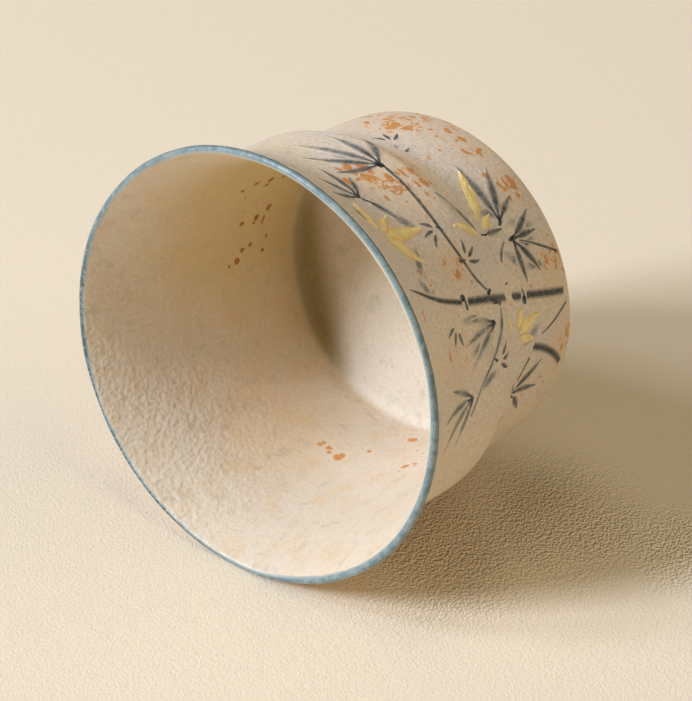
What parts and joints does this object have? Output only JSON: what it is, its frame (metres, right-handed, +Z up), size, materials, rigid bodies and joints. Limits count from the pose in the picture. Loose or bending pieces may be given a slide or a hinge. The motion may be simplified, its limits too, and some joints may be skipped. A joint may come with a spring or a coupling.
{
  "type": "bamboo-joint tea cup",
  "caption": "Small glazed ceramic tea cup with a flared blue-edged lip, a bamboo-joint groove round its wall and painted bamboo in ink and gold.",
  "frame": {"origin": "centre of the foot ring, on the plane that the cup stands on", "axes": "+Z up along the cup's turned axis, towards the mouth; -Y is the middle of the painted side, with +X to its right"},
  "size_m": [0.07, 0.07, 0.047],
  "materials": {
    "clay": "fired unglazed stoneware",
    "inner_glaze": "satin, orange-peel",
    "outer_glaze": "matt, fine-grained, iron-speckled",
    "lip_glaze": "glossy blue edge",
    "ink": "fired blue-grey brush ink",
    "gold": "raised gilt enamel"
  },
  "bodies": {
    "root": {"clay_body": "clay", "inner_glaze": "inner_glaze", "outer_glaze": "outer_glaze", "lip_band": "lip_glaze", "main_cane": "ink", "cane_joints": "ink", "short_cane": "ink", "right_branch": "ink", "left_branch": "ink", "middle_stem": "ink", "base_twigs": "ink", "twig_tips": "ink", "right_spray": "ink", "rim_spray": "ink", "centre_spray": "ink", "base_spray": "ink", "near_left_spray": "ink", "far_left_spray": "ink", "low_left_spray": "ink", "gold_centre_spray": "gold", "gold_rim_spray": "gold", "gold_left_spray": "gold"}
  },
  "joints": []
}
